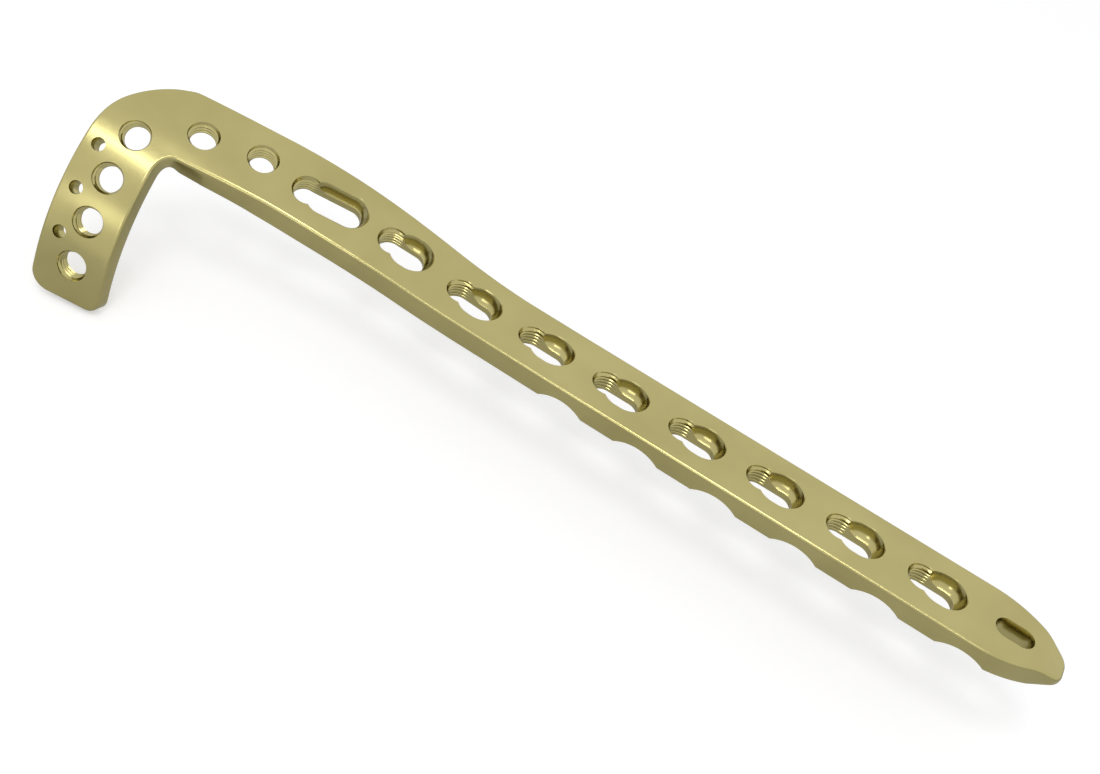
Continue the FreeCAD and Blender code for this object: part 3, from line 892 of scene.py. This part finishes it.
@dataclass
class BonePlate:
    """The plate as one closed piece: its blank, its holes and its exact surface normals."""

    blank: PlateBlank = field(default_factory=PlateBlank)
    holes: HoleRow = field(default_factory=HoleRow)
    sharp_angle: float = 24.0
    top_distance: float = 0.004
    top_facing: float = 0.985
    rim_distance: float = 0.001
    rim_facing: float = 0.93
    name: str = "plate_body"

    def shift(self) -> Array:
        """Move from the first keyhole to the middle of the row, in millimetres."""
        return np.array([-self.blank.outline.skin.row_middle, 0.0, 0.0])

    def build(self) -> bpy.types.Object:
        """The finished piece, its place in its mesh."""
        points, faces = self.blank.build()
        body = mesh_object(self.name, (points + self.shift()) * MM, faces.tolist())
        threads, troughs, lows = self.holes.keyholes()
        slots = self.holes.slots()
        groups = [threads + self.holes.round_holes(), troughs + slots[:1], lows, slots[1:]]
        self.cut(body, groups)
        self.shade(body.data)
        LOG.info("%s: %d faces", self.name, len(body.data.polygons))
        return body

    def cut(self, body: bpy.types.Object, groups: list[list[Cutter]]) -> None:
        """Cut groups of cutters out of the body, one group after the other."""
        tools = []
        for number, group in enumerate(groups):
            tool = cutter_object(f"cutter_{number}", group, self.shift())
            change = body.modifiers.new(f"cut_{number}", "BOOLEAN")
            change.operation = "DIFFERENCE"
            change.solver = "MANIFOLD"
            change.object = tool
            tools.append(tool)
        graph = bpy.context.evaluated_depsgraph_get()
        result = bpy.data.meshes.new_from_object(body.evaluated_get(graph))
        body.modifiers.clear()
        result.materials.clear()
        body.data = result
        for tool in tools:
            bpy.data.objects.remove(tool)

    def shade(self, mesh: bpy.types.Mesh) -> None:
        """Smooth shading with sharp rims, and exact normals on the upper side and its rim.

        A corner of a face takes the exact normal of its vertex where the face looks nearly
        the same way: the skin's own on the upper side, and the rounding's on the rim.
        """
        mesh.shade_smooth()
        mesh.set_sharp_from_angle(angle=math.radians(self.sharp_angle))
        points = mesh_values(mesh.vertices, "co", 3) / MM - self.shift()
        corners = mesh_values(mesh.corner_normals, "vector", 3, np.float32)
        vertex = mesh_values(mesh.loops, "vertex_index", 1, np.int32)[:, 0]
        total = mesh_values(mesh.polygons, "loop_total", 1, np.int32)[:, 0]
        facing = np.repeat(mesh_values(mesh.polygons, "normal", 3), total, axis=0)
        for (known, normals), limit in ((self.top_normals(points), self.top_facing),
                                        (self.rim_normals(points), self.rim_facing)):
            level = np.einsum("ij,ij->i", facing, normals[vertex]) > limit
            use = known[vertex] & level
            corners[use] = normals[vertex][use]
        mesh.normals_split_custom_set(corners)

    def top_normals(self, points: Array) -> Pair:
        """Which points lie on the upper side, and the skin's normals there."""
        skin = self.blank.outline.skin
        x, y, z = points.T
        s = skin.across(x, y)
        return np.abs(skin.at(x, s)[:, 2] - z) < self.top_distance, skin.normal(x, s)

    def rim_normals(self, points: Array) -> Pair:
        """Which points are vertices of the blank's upper rounding, and their normals there."""
        places, normals = self.blank.rim()
        tree = KDTree(len(places))
        for number, place in enumerate(places):
            tree.insert(place, number)
        tree.balance()
        found = [tree.find(point) for point in points]
        same = np.array([distance < self.rim_distance for _, _, distance in found])
        return same, normals[[number for _, number, _ in found]]


class Socket:
    """A shader value that can be used in Python expressions, each adding a Math node."""

    def __init__(self, tree: "NodeTree", socket: Any) -> None:
        """Wrap one output socket of a node tree."""
        self.tree = tree
        self.socket = socket

    def math(self, operation: str, first: Any, second: Any) -> "Socket":
        """Math node on two values, either of which may be a number."""
        return self.tree.node("ShaderNodeMath", {"operation": operation}, {0: first, 1: second})

    def __add__(self, other: Any) -> "Socket":
        """Sum."""
        return self.math("ADD", self, other)

    __radd__ = __add__

    def __sub__(self, other: Any) -> "Socket":
        """Difference."""
        return self.math("SUBTRACT", self, other)

    def __rsub__(self, other: Any) -> "Socket":
        """Difference from a number."""
        return self.math("SUBTRACT", other, self)

    def __mul__(self, other: Any) -> "Socket":
        """Product."""
        return self.math("MULTIPLY", self, other)

    __rmul__ = __mul__


class NodeTree:
    """Builder for the nodes of one material or world."""

    def __init__(self, owner: Any) -> None:
        """Empty the owner's tree and keep it."""
        owner.use_nodes = True
        self.tree = owner.node_tree
        self.tree.nodes.clear()

    def node(self, kind: str, settings: dict[str, Any], inputs: dict[Any, Any],
             output: Any = 0) -> Socket:
        """Add a node.

        Args:
            kind: Type of the node.
            settings: Properties of the node, set first. A ramp's stops are under "stops".
            inputs: Values or sockets, by the input's name or number.
            output: Name or number of the output that is returned.

        Returns:
            The wrapped output.
        """
        made = self.tree.nodes.new(kind)
        for name, value in settings.items():
            if name == "stops":
                self.set_stops(made.color_ramp, value)
            else:
                setattr(made, name, value)
        for name, value in inputs.items():
            target = made.inputs[name]
            if isinstance(value, Socket):
                self.tree.links.new(value.socket, target)
            else:
                target.default_value = value
        return Socket(self, made.outputs[output] if len(made.outputs) else None)

    @staticmethod
    def set_stops(ramp: Any, stops: list[tuple[float, Colour]]) -> None:
        """Give a colour ramp its stops."""
        while len(ramp.elements) < len(stops):
            ramp.elements.new(1.0)
        for element, (place, colour) in zip(ramp.elements, stops):
            element.position = place
            element.color = colour

    def mix(self, factor: Any, first: Any, second: Any) -> Socket:
        """Mix of two colours."""
        return self.node("ShaderNodeMix", {"data_type": "RGBA"}, {
            "Factor": factor, MIX_FIRST: first, MIX_SECOND: second}, MIX_RESULT)

    def noise(self, scale: float, detail: float = 2.0, roughness: float = 0.5) -> Socket:
        """Noise over the object's own coordinates."""
        place = self.node("ShaderNodeTexCoord", {}, {}, "Object")
        return self.node("ShaderNodeTexNoise", {}, {
            "Vector": place, "Scale": scale, "Detail": detail, "Roughness": roughness})


@dataclass(frozen=True)
class AnodisedTitanium:
    """Satin titanium under a thin yellow anodised film, with fine tumbling marks."""

    light: Colour = (0.485, 0.432, 0.188, 1.0)
    dark: Colour = (0.425, 0.376, 0.158, 1.0)
    dark_to: float = 0.32
    light_from: float = 0.68
    rough: float = 0.19
    rough_spread: float = 0.05
    cloud_scale: float = 90.0
    cloud_detail: float = 3.0
    grain_scale: float = 5200.0
    grain_roughness: float = 0.6
    grain_strength: float = 0.6
    grain_height: float = 3e-7

    def material(self) -> bpy.types.Material:
        """Material with clouds in the film's colour and a fine grain in its gloss."""
        made = bpy.data.materials.new("anodised_titanium")
        tree = NodeTree(made)
        cloud = tree.noise(self.cloud_scale, self.cloud_detail)
        grain = tree.noise(self.grain_scale, roughness=self.grain_roughness)
        stops = [(self.dark_to, self.dark), (self.light_from, self.light)]
        film = tree.node("ShaderNodeValToRGB", {"stops": stops}, {"Fac": cloud})
        rough = (self.rough + (cloud - NOISE_MEAN) * self.rough_spread
                 + (grain - NOISE_MEAN) * self.rough_spread)
        bump = tree.node("ShaderNodeBump", {}, {
            "Strength": self.grain_strength, "Distance": self.grain_height, "Height": grain})
        shader = tree.node("ShaderNodeBsdfPrincipled", {}, {
            "Base Color": film, "Metallic": 1.0, "Roughness": rough, "Normal": bump})
        tree.node("ShaderNodeOutputMaterial", {}, {"Surface": shader})
        return made


class Backing(Enum):
    """What a ray to the backdrop sees: the plain white of the page, or the studio's walls."""

    PAGE = (1.0, 1.0, 1.0, 1.0)
    BASE = (0.30, 0.30, 0.31, 1.0)
    WALL = (0.42, 0.42, 0.43, 1.0)
    CEILING = (0.74, 0.74, 0.75, 1.0)


@dataclass(frozen=True)
class Lamp:
    """Rectangular soft lamp, seen from the plate in a direction, facing it."""

    name: str
    way: Triple
    distance: float
    size: Two
    power: float

    def build(self) -> None:
        """Add the lamp to the scene."""
        light = bpy.data.lights.new(self.name, "AREA")
        light.shape = "RECTANGLE"
        light.size, light.size_y = self.size
        light.energy = self.power
        holder = new_object(self.name, light)
        direction = Vector(self.way).normalized()
        holder.location = direction * self.distance
        holder.rotation_euler = direction.to_track_quat("Z", "Y").to_euler()


@dataclass
class Studio:
    """Pale floor, soft lamps, world and camera, in metres."""

    floor_gap: float = 0.0003
    floor_size: float = 3.0
    floor_scale: float = 3.0
    floor_dark: Colour = (0.74, 0.74, 0.74, 1.0)
    floor_light: Colour = (0.77, 0.77, 0.77, 1.0)
    floor_roughness: float = 0.9
    floor_specular: float = 0.1
    page_lift: Colour = (0.43, 0.43, 0.43, 1.0)
    white_rays: tuple[str, ...] = ("Is Camera Ray", "Is Glossy Ray", "Is Transmission Ray")
    room_stops: tuple[tuple[float, Backing], ...] = (
        (0.0, Backing.BASE), (0.25, Backing.WALL), (0.7, Backing.CEILING))
    lamps: tuple[Lamp, ...] = (
        Lamp("key", (-0.05, -0.33, 0.94), 0.5, (0.12, 0.12), 0.30),
        Lamp("edge", (-0.05, -0.62, 0.77), 0.5, (0.44, 0.025), 0.26),
        Lamp("front", (-0.138, -0.933, 0.336), 0.6, (0.16, 0.08), 0.12))
    camera_place: Triple = (0.009563, -0.146917, 0.135537)
    camera_right: Triple = (0.83433526, 0.47882305, 0.27315408)
    camera_up: Triple = (-0.51796658, 0.51135161, 0.68573329)
    camera_back: Triple = (0.18866713, -0.71361616, 0.67465302)
    camera_lens: float = 44.81
    camera_sensor: float = 36.0
    camera_range: Two = (0.005, 20.0)

    def camera(self) -> None:
        """Camera at the photograph's place and angle."""
        lens = bpy.data.cameras.new("camera")
        lens.lens = self.camera_lens
        lens.sensor_width = self.camera_sensor
        lens.sensor_fit = "HORIZONTAL"
        lens.clip_start, lens.clip_end = self.camera_range
        view = new_object("camera", lens)
        axes = Matrix((self.camera_right, self.camera_up, self.camera_back)).transposed()
        view.matrix_world = Matrix.Translation(self.camera_place) @ axes.to_4x4()
        bpy.context.scene.camera = view

    def floor(self, low: float) -> None:
        """Wide pale floor just below the plate, lifted to page white for the camera only."""
        corners = [(-1, -1), (1, -1), (1, 1), (-1, 1)]
        points = [(self.floor_size * x, self.floor_size * y, low - self.floor_gap)
                  for x, y in corners]
        ground = mesh_object("floor", np.array(points), [[0, 1, 2, 3]])
        made = bpy.data.materials.new("floor")
        tree = NodeTree(made)
        colour = tree.mix(tree.noise(self.floor_scale), self.floor_dark, self.floor_light)
        seen = tree.node("ShaderNodeLightPath", {}, {}, "Is Camera Ray")
        lift = tree.mix(seen, BLACK, self.page_lift)
        shader = tree.node("ShaderNodeBsdfPrincipled", {}, {
            "Base Color": colour, "Roughness": self.floor_roughness,
            "Specular IOR Level": self.floor_specular,
            "Emission Color": lift, "Emission Strength": 1.0})
        tree.node("ShaderNodeOutputMaterial", {}, {"Surface": shader})
        ground.data.materials.append(made)
        ground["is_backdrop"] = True

    def world(self) -> None:
        """Grey room, darker below, that is plain white to the camera and in reflections."""
        made = bpy.data.worlds.new("studio")
        bpy.context.scene.world = made
        tree = NodeTree(made)
        seen = sum(tree.node("ShaderNodeLightPath", {}, {}, ray) for ray in self.white_rays)
        way = tree.node("ShaderNodeTexCoord", {}, {}, "Generated")
        height = tree.node("ShaderNodeSeparateXYZ", {}, {"Vector": way}, "Z")
        stops = [(place, backing.value) for place, backing in self.room_stops]
        room = tree.node("ShaderNodeValToRGB", {"stops": stops}, {"Fac": height})
        colour = tree.mix(seen, room, Backing.PAGE.value)
        shader = tree.node("ShaderNodeBackground", {}, {"Color": colour})
        tree.node("ShaderNodeOutputWorld", {}, {"Surface": shader})

    def build(self, low: float) -> None:
        """The whole studio over a floor height."""
        self.floor(low)
        for lamp in self.lamps:
            lamp.build()
        self.world()
        self.camera()
        LOG.info("studio over a floor at %.4f m", low)


def main() -> None:
    """Build the plate and the studio."""
    logging.basicConfig(level=logging.INFO)
    cad_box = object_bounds()
    plate = BonePlate().build()
    plate.data.materials.append(AnodisedTitanium().material())
    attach(plate, "root")
    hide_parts("bone_plate")
    Studio().build(float(cad_box[0][2]))
    bpy.context.scene.view_settings.view_transform = "Standard"


if __name__ == "__main__":
    main()
